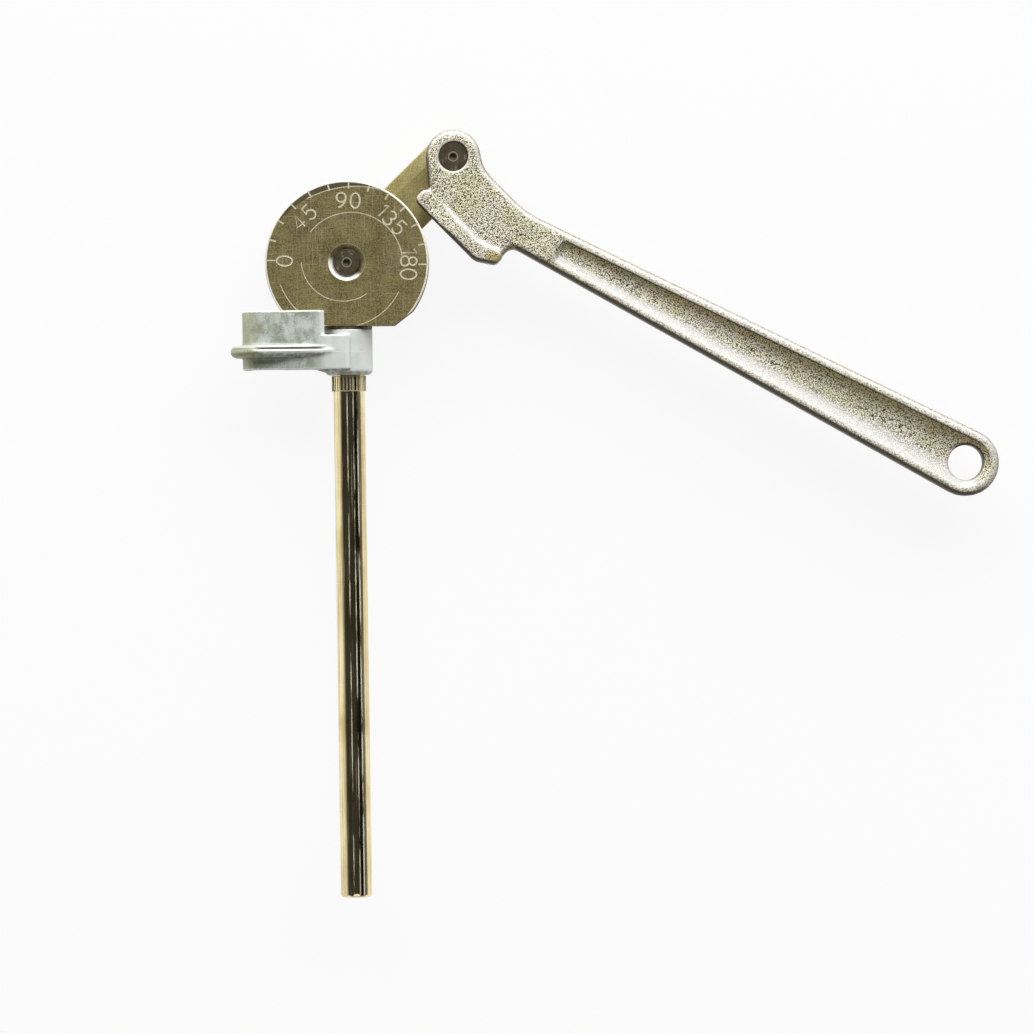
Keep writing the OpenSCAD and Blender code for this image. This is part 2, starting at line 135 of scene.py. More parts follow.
class Finish(Wiring):  # a material on Object coordinates, in metres
    def __init__(self, name):
        self.material = bpy.data.materials.new(name)
        self.material.use_nodes = True
        Wiring.__init__(self, self.material.node_tree)
        self.tree.nodes.clear()
        self.place = self.node("ShaderNodeTexCoord", out="Object")

    def along(self, letter):
        return self.axis(letter, self.place)

    def stretch(self, scale, turn=0.0, shift=(0, 0, 0)):
        return self.node("ShaderNodeMapping", {"vector_type": "POINT"}, {
            "Vector": self.place, "Scale": scale, "Rotation": (0, 0, turn), "Location": shift})

    def reach(self, centre):  # distance from an axis that stands on the dial's plane
        flat = self.stretch((1, 1, 0), shift=(-centre[0], -centre[1], 0))
        return self.node("ShaderNodeVectorMath", {"operation": "LENGTH"}, {0: flat}, "Value")

    def noise(self, size, detail=2.0, rough=0.5, place=None):
        return self.node("ShaderNodeTexNoise", {"noise_dimensions": "3D"}, {
            "Vector": place or self.place, "Scale": 1 / size, "Detail": detail, "Roughness": rough}, "Fac")

    def drawn(self, scale, turn=0.0, detail=2, rough=0.55):  # noise drawn out into lines
        return self.noise(1.0, detail, rough, self.stretch(scale, turn))

    def cells(self, size):
        return self.node("ShaderNodeTexVoronoi", {"feature": "F1"}, {
            "Vector": self.place, "Scale": 1 / size}, "Distance")

    def dots(self, size, rim, patch, spread):  # round dots that come in patches
        return self.rise(self.cells(size), *rim) * self.rise(self.noise(patch), *spread)

    def own(self, name):  # a value kept on the piece's own points
        return self.node("ShaderNodeAttribute", {"attribute_name": name}, out="Fac")

    def ramp(self, value, stops):
        return self.node("ShaderNodeValToRGB", {"stops": stops}, {"Fac": value}, "Color")

    def blend(self, factor, first, second, how="MIX"):
        first, second = [c if isinstance(c, Wire) else (*c, 1) for c in (first, second)]
        return self.node("ShaderNodeMix", {"data_type": "RGBA", "blend_type": how, "clamp_factor": True}, {
            "Factor_Float": factor, "A_Color": first, "B_Color": second}, "Result_Color")

    def layer(self, below, value, colour, span, share, how="MIX"):  # a coat that grows as value runs through span
        return self.blend(self.rise(value, *span) * share, below, colour, how)

    def done(self, colour, rough, metal, height, strength, depth):
        normal = self.node("ShaderNodeBump", {}, {"Height": height, "Strength": strength, "Distance": depth})
        shader = self.node("ShaderNodeBsdfPrincipled", {}, {
            "Base Color": colour, "Roughness": rough, "Metallic": metal, "Normal": normal})
        self.node("ShaderNodeOutputMaterial", {}, {"Surface": shader})
        return self.material


# plating of the former and the link: mottled, brushed and scratched both ways, with pits and nicks
plating = {
    "mottle": (9 * mm, 5, 0.62), "fine": (0.45 * mm, 3, 0.7),  # size, detail and roughness of a noise
    "brushes": [((320, 2600, 320), 0.03), ((2600, 280, 280), -0.02)],  # stretch and turn of a drawn-out noise
    "brushDetail": (2, 0.6),  # its detail and roughness
    "scratches": [  # stretch, turn, span of the noise that shows, strength
        ((90, 2800, 90), 0.03, (0.62, 0.74), 0.5),
        ((3000, 80, 80), -0.02, (0.60, 0.74), 0.6),
        ((180, 2200, 180), 0.9, (0.68, 0.78), 0.5),
    ],
    "pits": (1.9 * mm, (0.16, 0.06), 4 * mm, (0.5, 0.62)),  # dots: spacing, rim, size and span of their patches
    "nicks": (5 * mm, (0.075, 0.035), 11 * mm, (0.5, 0.54)), "pitShare": 0.75,
    "toneSpan": (0.39, 0.61), "toneShares": (0.2, 0.56, 0.12),  # of mottle, fine grain, brushing
    "roughShares": (0.22, 0.16, -0.08),  # of fine grain, mottle, scratches
    "heightShares": (0.5, -0.6, -0.8),  # of fine grain, scratches, pits
    "bump": (0.35, 0.06 * mm),  # strength and depth
}

dialLook = {
    "dark": (0.115, 0.092, 0.033), "light": (0.37, 0.305, 0.13), "scratch": (0.60, 0.54, 0.36),
    "speck": (0.05, 0.042, 0.02), "rough": 0.27, "metal": 0.4,
}

linkLook = {
    "dark": (0.29, 0.245, 0.085), "light": (0.63, 0.55, 0.25), "scratch": (0.80, 0.74, 0.52),
    "speck": (0.08, 0.07, 0.03), "rough": 0.27, "metal": 0.3,
}

# painted light of the former's face: a dark band of painted shade past an eccentric circle, a painted highlight along
# the rim, and a glint painted on one side of the countersink
formerPaintedLight = {
    "bevel": (0.075, 0.058, 0.04), "bevelCentre": (3.3 * mm, -9.7 * mm), "bevelRadius": 38.5 * mm,
    "bevelSpan": (-0.1 * mm, 0.1 * mm), "bevelHeight": (9.0 * mm, 9.07 * mm), "bevelShare": 0.7,
    "rim": (0.95, 0.92, 0.78), "rimSpan": (30.27 * mm, 30.47 * mm), "rimHeight": (8.5 * mm, 8.65 * mm),
    "rimShare": 0.9, "glint": (0.95, 0.94, 0.89), "glintWay": 240, "glintSpan": (0.6 * mm, 3.2 * mm),
    "sinkRadius": 7.0 * mm, "sinkSpan": (0.05 * mm, -0.05 * mm),
    "lipSpan": (0.22 * mm, 0.08 * mm), "lipHeight": (8.9 * mm, 9.0 * mm), "lipShare": 0.35,
}


def platedFinish(name, look, paintedLight=None):
    f = Finish(name)
    mottle = f.noise(*plating["mottle"])
    fine = f.noise(*plating["fine"])
    first, second = [f.drawn(*brush, *plating["brushDetail"]) for brush in plating["brushes"]]
    lines = [f.rise(f.drawn(scale, turn), *span) * share for scale, turn, span, share in plating["scratches"]]
    scratch = lines[0].most(lines[1]).most(lines[2])
    pits = f.dots(*plating["pits"])
    nicks = f.dots(*plating["nicks"])
    tone = f.rise(weighed(plating["toneShares"], mottle, fine, first + second), *plating["toneSpan"])
    colour = f.blend(tone, look["dark"], look["light"])
    colour = f.blend(scratch.most(nicks), colour, look["scratch"])
    colour = f.blend(pits * plating["pitShare"], colour, look["speck"])
    metal = look["metal"]
    if paintedLight:
        # a dark band past an eccentric circle, near the top of the face: painted shade
        beyond = f.reach(paintedLight["bevelCentre"]) - paintedLight["bevelRadius"]
        bevel = f.rise(beyond, *paintedLight["bevelSpan"]) * f.rise(f.along("Z"), *paintedLight["bevelHeight"])
        colour = f.blend(bevel * paintedLight["bevelShare"], colour, paintedLight["bevel"])
        # a bright line along the outer rim, less metallic: painted highlight
        reach = f.reach((0, 0))
        rim = f.rise(reach, *paintedLight["rimSpan"]) * f.rise(f.along("Z"), *paintedLight["rimHeight"])
        colour = f.blend(rim * paintedLight["rimShare"], colour, paintedLight["rim"])
        # a bright glint on one side of the countersink: painted highlight
        way = math.radians(paintedLight["glintWay"])
        aside = f.along("X") * math.cos(way) + f.along("Y") * math.sin(way)
        out = reach - paintedLight["sinkRadius"]  # past the edge of the countersink
        glint = f.rise(out, *paintedLight["sinkSpan"]) * f.rise(aside, *paintedLight["glintSpan"])
        colour = f.blend(glint, colour, paintedLight["glint"])
        lip = f.rise(abs(out), *paintedLight["lipSpan"]) * f.rise(f.along("Z"), *paintedLight["lipHeight"])
        colour = f.blend(lip * paintedLight["lipShare"], colour, look["scratch"])
        metal = (1 - rim.most(glint)) * look["metal"]
    rough = weighed(plating["roughShares"], fine, mottle, scratch) + look["rough"]
    height = weighed(plating["heightShares"], fine, scratch, pits)
    return f.done(colour, rough, metal, height, *plating["bump"])


# cut marks of the dial: brighter bare metal
markLook = {
    "base": (0.86, 0.81, 0.64), "dull": (0.58, 0.52, 0.36), "grain": (0.5 * mm, 3, 0.6), "span": (0.35, 0.62),
    "rough": 0.36, "roughShare": 0.2, "metal": 0.15, "bump": (0.25, 0.05 * mm),
}


def markFinish():
    f = Finish("engraved_mark")
    grain = f.noise(*markLook["grain"])
    colour = f.blend(f.rise(grain, *markLook["span"]), markLook["dull"], markLook["base"])
    rough = grain * markLook["roughShare"] + markLook["rough"]
    return f.done(colour, rough, markLook["metal"], grain, *markLook["bump"])


# rough casting of the lever: pale plating over a sandy skin, brown in its pits
castLook = {
    "cloud": (16 * mm, 4, 0.6), "blotch": (5 * mm, 3, 0.6), "sand": (0.45 * mm, 1.0, 0.5), "lumpSize": 1.05 * mm,
    "skin": [  # from a pit to the top of a grain
        (0.41, (0.03, 0.022, 0.008)), (0.455, (0.29, 0.25, 0.135)),
        (0.495, (0.82, 0.785, 0.61)), (0.535, (1.0, 0.985, 0.90)),
    ],
    "skinShares": (0.92, 0.08),  # of sand, blotch
    "olive": (0.90, 0.87, 0.71), "pink": (0.98, 0.945, 0.90), "cloudSpan": (0.38, 0.62),
    # each coat: its colour, the span of the value that it grows with, its share
    "worn": ((0.86, 0.84, 0.77), (0.02, 0.08), 0.6), "crease": ((0.12, 0.10, 0.055), (-0.03, -0.10), 0.6),
    "stain": ((0.70, 0.62, 0.30), (4.6 * mm, 1.84 * mm), 0.9), "stainPlace": (56.1 * mm, 1.6 * mm),
    # painted light and shade, by the way a side faces: the same under any lamp
    "flank": ((0.46, 0.46, 0.44), (0.62, 0.95), 0.9), "left": ((0.30, 0.26, 0.17), (0.6, 0.92), 0.8),
    "upper": ((0.62, 0.615, 0.605), (0.06, 0.42), 0.8), "upperSlope": (0.95, 0.62),
    "lower": ((0.44, 0.365, 0.15), (-0.08, -0.6)), "lowerSlope": (0.9, 1.0, 0.8, 0.35),
    "lowEdge": ((0.04, 0.03, 0.016), (-0.2, -0.55), 0.85), "lowEdgeBend": (0.006, 0.025),
    "acrossWay": 62, "leftWay": 180,  # degrees about Z
    "rough": 0.53, "metal": 0.15, "roughShares": (-0.22, 0.12),  # of sand, cloud
    "bump": (0.85, 0.32 * mm), "heightShares": (0.75, 0.3, 0.35),  # of sand, lumps, blotch
}


def castFinish():
    f = Finish("rough_casting_skin")
    cloud = f.noise(*castLook["cloud"])
    blotch = f.noise(*castLook["blotch"])
    sand = f.noise(*castLook["sand"])
    lumps = f.cells(castLook["lumpSize"])
    edge, steep, across = f.own("edge"), f.own("steep"), f.own("across")
    colour = f.ramp(weighed(castLook["skinShares"], sand, blotch), castLook["skin"])
    tint = f.blend(f.rise(cloud, *castLook["cloudSpan"]), castLook["olive"], castLook["pink"])
    colour = f.blend(1.0, colour, tint, "MULTIPLY")
    colour = f.layer(colour, edge, *castLook["worn"])
    colour = f.layer(colour, f.reach(castLook["stainPlace"]), *castLook["stain"], "MULTIPLY")
    # painted light and shade by the way a side faces: paler upper slopes, darker flanks, darker lower slopes and
    # lower edges, a darker left side
    tone, span, share = castLook["upper"]
    colour = f.layer(colour, across, tone, span, f.rise(steep, *castLook["upperSlope"]) * share)
    colour = f.layer(colour, steep, *castLook["flank"], "MULTIPLY")
    tone, span = castLook["lower"]
    colour = f.layer(colour, across, tone, span, f.rise(steep, *castLook["lowerSlope"]), "MULTIPLY")
    tone, span, share = castLook["lowEdge"]
    colour = f.layer(colour, across, tone, span, f.rise(edge, *castLook["lowEdgeBend"]) * share)
    colour = f.layer(colour, f.own("left"), *castLook["left"], "MULTIPLY")
    colour = f.layer(colour, edge, *castLook["crease"])
    rough = weighed(castLook["roughShares"], sand, cloud) + castLook["rough"]
    height = weighed(castLook["heightShares"], sand, lumps, blotch)
    return f.done(colour, rough, castLook["metal"], height, *castLook["bump"])


# die-cast zinc of the hook: cool grey, soft, with a flow mottle, folds over its rib and a seam round its boss;
# painted light and shade: greyer upper sides, a paler end, a darker underside and a shadow line along the rib's
# crease
zincLook = {
    "flow": (7 * mm, 4, 0.6), "grain": (0.55 * mm, 3, 0.6), "brush": ((520, 200, 520), 0.0, 3, 0.6),
    "grey": (0.33, 0.365, 0.28), "pale": (0.68, 0.72, 0.67), "worn": (0.93, 0.95, 0.92),
    "dirt": (0.12, 0.125, 0.085), "shadeBelow": (0.17, 0.17, 0.10), "band": (0.30, 0.28, 0.13),
    "crease": (0.03, 0.03, 0.02),
    "toneSpan": (0.41, 0.59), "toneShares": (0.55, 0.25, 0.2),  # of flow, grain, brush
    "boss": ((0.88, 0.925, 0.885), (-16 * mm, -6 * mm), 0.75),  # colour, span, share
    "green": ((0.43, 0.44, 0.20), (-30 * mm, -42 * mm), 0.7),
    "upper": ((0.52, 0.54, 0.51), (0.12, 0.6), 0.85), "paleEnd": ((0.4, 0.7), 0.6),  # painted light and shade
    "wornEdge": ((0.03, 0.09), 0.85), "darkCorner": ((-0.025, -0.08), 0.75),
    "spots": (1.6 * mm, (0.17, 0.05), 6 * mm, (0.5, 0.6)), "spotShare": 0.7,
    "shadeBelowNoise": (1.6 * mm, 3, 0.6), "shadeBelowSpan": (0.40, 0.62, 0.4), "shadeBelowSide": (0.05, 0.6), "shadeBelowShare": 0.8,
    "seamHeight": -34.0 * mm, "seamSpan": (0.28 * mm, 0.05 * mm), "seamRun": (-17 * mm, -15 * mm), "seamShare": 0.5,
    "folds": [  # height, half width, start, end in mm, colour
        (-32.4, 0.6, -37, -7, "crease"), (-32.4, 0.5, -47, -33, "band"), (-34.3, 0.5, -48, -31, "band"),
    ],
    "foldFade": 4, "foldCore": 0.4, "foldFront": (0, 1 * mm), "foldShare": 0.85,
    "rough": 0.25, "metal": 0.15, "roughShares": (0.2, 0.14),  # of grain, flow
    "bump": (0.4, 0.12 * mm), "heightShares": (0.5, 0.3),  # of grain, flow
}


def zincFinish():
    f = Finish("zinc_skin")
    flow = f.noise(*zincLook["flow"])
    grain = f.noise(*zincLook["grain"])
    brush = f.drawn(*zincLook["brush"])
    edge = f.own("edge")
    tone = f.rise(weighed(zincLook["toneShares"], flow, grain, brush), *zincLook["toneSpan"])
    colour = f.blend(tone, zincLook["grey"], zincLook["pale"])
    colour = f.layer(colour, f.along("X"), *zincLook["boss"])
    colour = f.layer(colour, f.along("X"), *zincLook["green"])
    colour = f.blend(f.dots(*zincLook["spots"]) * zincLook["spotShare"], colour, zincLook["dirt"])
    seam = f.rise(abs(f.along("Y") - zincLook["seamHeight"]), *zincLook["seamSpan"])
    seam = seam * f.rise(f.along("X"), *zincLook["seamRun"])
    colour = f.blend(seam * zincLook["seamShare"], colour, zincLook["worn"])
    # painted light and shade: a paler end in the worn colour, greyer upper sides
    colour = f.layer(colour, f.own("end"), zincLook["worn"], *zincLook["paleEnd"])
    colour = f.layer(colour, f.own("upper"), *zincLook["upper"])
    # painted shade on the sides turned down, broken up by noise
    shadeBelow = f.rise(f.noise(*zincLook["shadeBelowNoise"]), *zincLook["shadeBelowSpan"])
    shadeBelow = shadeBelow * f.rise(f.own("under"), *zincLook["shadeBelowSide"])
    colour = f.blend(shadeBelow * zincLook["shadeBelowShare"], colour, zincLook["shadeBelow"])
    # paler on outer edges, darker in inner corners
    colour = f.layer(colour, edge, zincLook["worn"], *zincLook["wornEdge"])
    colour = f.layer(colour, edge, zincLook["dirt"], *zincLook["darkCorner"])
    height = weighed(zincLook["heightShares"], grain, flow) + seam
    fade, core = zincLook["foldFade"], zincLook["foldCore"]
    # dark lines over the rib, also pressed in as a bump; the one in the crease colour is painted shadow along the top
    # of the rib
    for level, half, low, high, tint in zincLook["folds"]:
        fold = f.rise(abs(f.along("Y") - level * mm), half * mm, half * core * mm)
        fold = fold * f.rise(f.along("Z"), *zincLook["foldFront"])
        fold = fold * f.rise(f.along("X"), low * mm, (low + fade) * mm)
        fold = fold * f.rise(f.along("X"), high * mm, (high - fade) * mm)
        colour = f.blend(fold * zincLook["foldShare"], colour, zincLook[tint])
        height = height - fold
    rough = weighed(zincLook["roughShares"], grain, flow) + zincLook["rough"]
    return f.done(colour, rough, zincLook["metal"], height, *zincLook["bump"])


# drawn bright bar: yellow plating polished along its length, with scratches round and along it, and painted glints
# along it
rodLook = {
    "cloud": (14 * mm, 4, 0.6), "fine": (0.5 * mm, 3, 0.6), "draw": ((900, 22, 900), 0.0, 3, 0.6),
    "gold": (0.93, 0.82, 0.50), "brown": (0.62, 0.48, 0.22), "bright": (0.95, 0.90, 0.76),
    "toneSpan": (0.36, 0.62), "toneShares": (0.6, 0.4),  # of draw, cloud
    "long": (1900, 30, 1900), "longSpan": (0.64, 0.72), "rings": (60, 1700, 60), "ringSpan": (0.68, 0.75),
    "longShare": 0.5, "ringShare": 0.4,
    "streaks": [(-0.7, 0.26), (1.6, 0.28), (3.15, 0.35)],  # painted glints: place across the bar and half width, mm
    "streakCore": 0.3, "streakShare": 0.8, "streakLong": 0.3,
    "broken": ((400, 60, 400), 0.0, 3, 0.6), "brokenSpan": (0.36, 0.58),
    "rough": 0.04, "roughShares": (0.06, 0.05, 0.15),  # of cloud, fine grain, streaks
    "bump": (0.22, 0.05 * mm), "heightShares": (0.3, -0.6, -0.5),  # of fine grain, long scratches, rings
}


def rodFinish():
    f = Finish("polished_bar")
    cloud = f.noise(*rodLook["cloud"])
    fine = f.noise(*rodLook["fine"])
    tone = weighed(rodLook["toneShares"], f.drawn(*rodLook["draw"]), cloud)
    colour = f.blend(f.rise(tone, *rodLook["toneSpan"]), rodLook["brown"], rodLook["gold"])
    long = f.rise(f.drawn(rodLook["long"]), *rodLook["longSpan"])
    rings = f.rise(f.drawn(rodLook["rings"]), *rodLook["ringSpan"])
    scratch = (long * rodLook["longShare"]).most(rings * rodLook["ringShare"])
    colour = f.blend(scratch, colour, rodLook["bright"])
    # painted glints: broken bright lines along the bar at fixed places across it, less metallic, over the long
    # scratches
    broken = f.rise(f.drawn(*rodLook["broken"]), *rodLook["brokenSpan"])
    glintsAndScratches = long * rodLook["streakLong"]
    for at, half in rodLook["streaks"]:
        line = f.rise(abs(f.along("X") - at * mm), half * mm, half * rodLook["streakCore"] * mm)
        glintsAndScratches = glintsAndScratches.most(line * broken)
    colour = f.blend(glintsAndScratches * rodLook["streakShare"], colour, rodLook["bright"])
    rough = weighed(rodLook["roughShares"], cloud, fine, glintsAndScratches) + rodLook["rough"]
    height = weighed(rodLook["heightShares"], fine, long, rings)
    return f.done(colour, rough, 1 - glintsAndScratches * rodLook["streakShare"], height, *rodLook["bump"])


# dark turned steel of the pins, with rings from the lathe about the given axis
pinLook = {
    "mottle": (2.2 * mm, 4, 0.65), "fine": (0.45 * mm, 3, 0.6), "latheScale": 2600.0, "latheDetail": 2.0,
    "dark": (0.075, 0.06, 0.035), "brown": (0.17, 0.14, 0.085), "ring": (0.52, 0.48, 0.35),
    "hole": (0.02, 0.016, 0.01),
    "toneSpan": (0.36, 0.64), "toneShares": (0.6, 0.4),  # of lathe, mottle
    "ringRadius": 1.75 * mm, "ringSpan": (0.3 * mm, 0.12 * mm), "ringShare": 0.75,
    "wornSpan": (0.56, 0.68), "wornShare": 0.5, "holeSpan": (1.25 * mm, 1.0 * mm),
    "rough": 0.27, "metal": 0.7, "roughShares": (0.2, 0.16),  # of fine grain, lathe
    "fineHeight": 0.4, "bump": (0.4, 0.08 * mm),
}


def pinFinish(name, centre, look):
    f = Finish(name)
    reach = f.reach(centre)
    mottle = f.noise(*look["mottle"])
    fine = f.noise(*look["fine"])
    lathe = f.node("ShaderNodeTexNoise", {"noise_dimensions": "1D"}, {
        "W": reach, "Scale": look["latheScale"], "Detail": look["latheDetail"]}, "Fac")
    ring = f.rise(abs(reach - look["ringRadius"]), *look["ringSpan"]) * look["ringShare"]
    worn = f.rise(mottle, *look["wornSpan"]) * look["wornShare"]
    tone = f.rise(weighed(look["toneShares"], lathe, mottle), *look["toneSpan"])
    colour = f.blend(tone, look["dark"], look["brown"])
    colour = f.blend(ring.most(worn), colour, look["ring"])
    colour = f.blend(f.rise(reach, *look["holeSpan"]), colour, look["hole"])
    rough = weighed(look["roughShares"], fine, lathe) + look["rough"]
    return f.done(colour, rough, look["metal"], lathe + fine * look["fineHeight"], *look["bump"])


# plain stamped washers, with a little rust
washerLook = {
    "mottle": (3.5 * mm, 4, 0.62), "fine": (0.5 * mm, 3, 0.6), "rustNoise": (2.4 * mm, 3),
    "grey": (0.36, 0.345, 0.29), "pale": (0.58, 0.56, 0.48), "rust": ((0.24, 0.16, 0.085), (0.63, 0.74), 0.6),
    "toneSpan": (0.36, 0.64), "toneShares": (0.6, 0.4), "roughShares": (0.24, 0.16),  # of mottle, fine grain
    "rough": 0.18, "metal": 0.85, "bump": (0.3, 0.06 * mm),
}


def washerFinish():
    f = Finish("stamped_washer")
    mottle = f.noise(*washerLook["mottle"])
    fine = f.noise(*washerLook["fine"])
    tone = f.rise(weighed(washerLook["toneShares"], mottle, fine), *washerLook["toneSpan"])
    colour = f.blend(tone, washerLook["grey"], washerLook["pale"])
    colour = f.layer(colour, f.noise(*washerLook["rustNoise"]), *washerLook["rust"])
    rough = weighed(washerLook["roughShares"], mottle, fine) + washerLook["rough"]
    return f.done(colour, rough, washerLook["metal"], fine, *washerLook["bump"])


leverAxis = frame["joints"][1]["pos_m"]  # the second joint is the lever's pivot
dialPlate = platedFinish("plated_former", dialLook, formerPaintedLight)
linkPlate = platedFinish("plated_link", linkLook)
markBright = markFinish()
castSkin = castFinish()
zincSkin = zincFinish()
barSkin = rodFinish()
washerSkin = washerFinish()
centrePinSkin = pinFinish("turned_centre_pin", (0, 0), pinLook)
leverPinSkin = pinFinish("turned_lever_pin", leverAxis, pinLook)
darkSkin = pinFinish("dark_turned", (0, 0), pinLook)
print("finishes:", len(bpy.data.materials))

# how copies of the solids are cleaned, smoothed and shaded
copying = {
    "mergeDistance": 0.002 * mm, "joinTurn": 0.2,  # of points that merge, and between faces that join
    "smoothFactor": 0.5, "levelNormal": 0.9999,  # strength of a smoothing pass, least normal of a level face
}


def freshObject(name, mesh):
    made = bpy.data.objects.new(name, mesh)
    bpy.context.scene.collection.objects.link(made)
    return made


def mergedCopy(name, node):  # a node's loose triangles as one closed mesh
    shape = bmesh.new()
    shape.from_mesh(nodes[node].data)
    bmesh.ops.remove_doubles(shape, verts=shape.verts, dist=copying["mergeDistance"])
    turn = math.radians(copying["joinTurn"])
    bmesh.ops.dissolve_limit(shape, angle_limit=turn, verts=shape.verts, edges=shape.edges)
    mesh = bpy.data.meshes.new(name)
    shape.to_mesh(mesh)
    shape.free()
    for layer in [a.name for a in mesh.attributes if a.name in ("custom_normal", "sharp_edge", "sharp_face")]:
        mesh.attributes.remove(mesh.attributes[layer])
    return freshObject(name, mesh)


def settle(piece):  # modifiers applied, one plain mesh left
    sheet = bpy.context.evaluated_depsgraph_get()
    mesh = bpy.data.meshes.new_from_object(piece.evaluated_get(sheet))
    piece.modifiers.clear()
    mesh.name = piece.name
    piece.data = mesh
    return piece


def shade(piece, sharpAngle=None):  # smooth, or with level faces flat and edges sharp past an angle
    mesh = piece.data
    level = copying["levelNormal"]
    flat = [sharpAngle is not None and abs(face.normal.z) > level for face in mesh.polygons]
    mesh.polygons.foreach_set("use_smooth", [not f for f in flat])
    if sharpAngle is not None:
        mesh.set_sharp_from_angle(angle=math.radians(sharpAngle))
    mesh.update()
    return piece


def coat(piece, material):
    piece.data.materials.clear()
    piece.data.materials.append(material)
    return piece


def soften(piece, voxel, passes):  # cast edges: even small faces, then smoothed
    remesh = piece.modifiers.new("even", "REMESH")
    remesh.mode = "VOXEL"
    remesh.voxel_size = voxel
    smooth = piece.modifiers.new("ease", "SMOOTH")
    smooth.factor = copying["smoothFactor"]
    smooth.iterations = passes
    return shade(settle(piece))


class Points:  # a mesh's points as arrays, and the mean of a value over each point's neighbours
    def __init__(self, mesh):
        self.mesh = mesh
        count = len(mesh.vertices)
        place, facing = np.empty(count * 3), np.empty(count * 3)
        mesh.vertices.foreach_get("co", place)
        mesh.vertices.foreach_get("normal", facing)
        self.place, self.facing = place.reshape(-1, 3), facing.reshape(-1, 3)
        ends = np.empty(len(mesh.edges) * 2, dtype=np.int32)
        mesh.edges.foreach_get("vertices", ends)
        self.first, self.second = ends.reshape(-1, 2).T
        self.ways = np.bincount(ends, minlength=count)

    def around(self, values):
        first, second, count = self.first, self.second, len(self.ways)
        return (np.bincount(first, values[second], count) + np.bincount(second, values[first], count)) / self.ways

    def middle(self):
        return np.stack([self.around(self.place[:, i]) for i in range(3)], axis=1)

    def bend(self, passes):  # above 0 on outer edges, below 0 in inner corners
        step = np.linalg.norm(self.place[self.first] - self.place[self.second], axis=1).mean()
        return self.spread(((self.place - self.middle()) * self.facing).sum(axis=1) / step, passes)

    def spread(self, values, passes):
        for _ in range(passes):
            values = (values + self.around(values)) / 2
        return values

    def keep(self, name, values):  # values as an attribute of the points
        self.mesh.attributes.new(name, "FLOAT", "POINT").data.foreach_set("value", values.astype(np.float32))

    def write(self):
        self.mesh.vertices.foreach_set("co", self.place.ravel())
        self.mesh.update()


def hollowCorners(piece, hollow):  # inner corners drawn out to hollows, outer edges left alone
    points = Points(piece.data)
    corner = points.spread((points.bend(1) < hollow["bend"]).astype(float), hollow["spread"])
    share = np.minimum(corner * hollow["gain"], 1)[:, None] / 2
    for _ in range(hollow["passes"]):
        points.place += (points.middle() - points.place) * share
    points.write()


def pressCrease(piece, crease):  # a shallow crease along X, pressed into the front of a piece
    points = Points(piece.data)
    x, y, z = points.place.T
    share = np.clip(1 - np.abs(y - crease["height"]) / crease["half"], 0, 1) * (z > 0)
    share *= np.clip((x - crease["start"]) / crease["fade"], 0, 1)
    share *= np.clip((crease["end"] - x) / crease["fade"], 0, 1)
    points.place -= points.facing * (share * crease["depth"])[:, None]
    points.write()


def markEdges(piece, passes, ways):  # kept for the finishes: bent edges, steep sides, how far a side faces each way
    points = Points(piece.data)
    points.keep("edge", points.bend(passes))
    points.keep("steep", np.hypot(points.facing[:, 0], points.facing[:, 1]))
    for name, way in ways.items():
        turn = math.radians(way)
        points.keep(name, points.facing @ (math.cos(turn), math.sin(turn), 0))


def grownMesh(name, sizes, build):  # a Geometry Nodes tree with named sizes, as one plain mesh
    tree = bpy.data.node_groups.new(name, "GeometryNodeTree")
    kinds = {int: "NodeSocketInt", float: "NodeSocketFloat"}
    keys = {}
    for label, value in sizes.items():
        kind = kinds.get(type(value), "NodeSocketMaterial")
        keys[label] = tree.interface.new_socket(label, in_out="INPUT", socket_type=kind).identifier
    tree.interface.new_socket("Mesh", in_out="OUTPUT", socket_type="NodeSocketGeometry")
    wiring = Wiring(tree)
    given = tree.nodes.new("NodeGroupInput")
    size = {label: Wire(wiring, wiring.find(given.outputs, label)) for label in sizes}
    made = wiring.node("GeometryNodeRealizeInstances", {}, {0: build(wiring, size)})
    made = wiring.node("GeometryNodeSetMaterial", {}, {"Geometry": made, "Material": size["Material"]})
    wiring.node("NodeGroupOutput", {}, {0: made})
    piece = freshObject(name, bpy.data.meshes.new(name))
    grower = piece.modifiers.new("grow", "NODES")
    grower.node_group = tree
    for label, value in sizes.items():
        grower[keys[label]] = value
    return settle(piece)


# dial marks: straight ticks, single-stroke numbers and scribed wear rings, in mm and degrees
dial = {
    "face": 9.1, "turn": -2.3, "sharpAngle": 28,
    "tickStep": 15.0, "tickCount": 13, "tickOuter": 30.65, "tickLong": 2.7, "tickWide": 0.62, "tickDeep": 0.2,
    "endTickMore": 0.3,  # what the first and the last tick are longer by, as a share
    "stroke": (0.49, 0.28), "scribe": (0.22, 0.08),  # radius of the cutter and its height over the face
    "scribeSteps": 60, "numberRadius": 23.6,
    "numbers": [  # text, angle, height, gap between digits as a share of the height
        ("0", 180, 6.0, 0.0), ("45", 135, 5.7, 0.34), ("90", 90, 5.7, 0.32),
        ("135", 45, 5.6, 0.3), ("180", 0, 6.1, 0.2),
    ],
    "scribes": [  # centre x, centre y, radius, start and end angle
        (1.7, -0.6, 19.6, 8, 141), (-1.4, 1.1, 15.8, 183, 304),
        (-2.1, -0.3, 24.4, 198, 333), (3.3, -9.7, 38.5, 75, 118),
    ],
    "closedGap": 0.01,  # a run whose ends are nearer than this is a closed ring
}


def bow(cx, cy, rx, ry, start, end, steps=16):
    turns = [math.radians(start + (end - start) * i / steps) for i in range(steps + 1)]
    return [(cx + rx * math.cos(t), cy + ry * math.sin(t)) for t in turns]


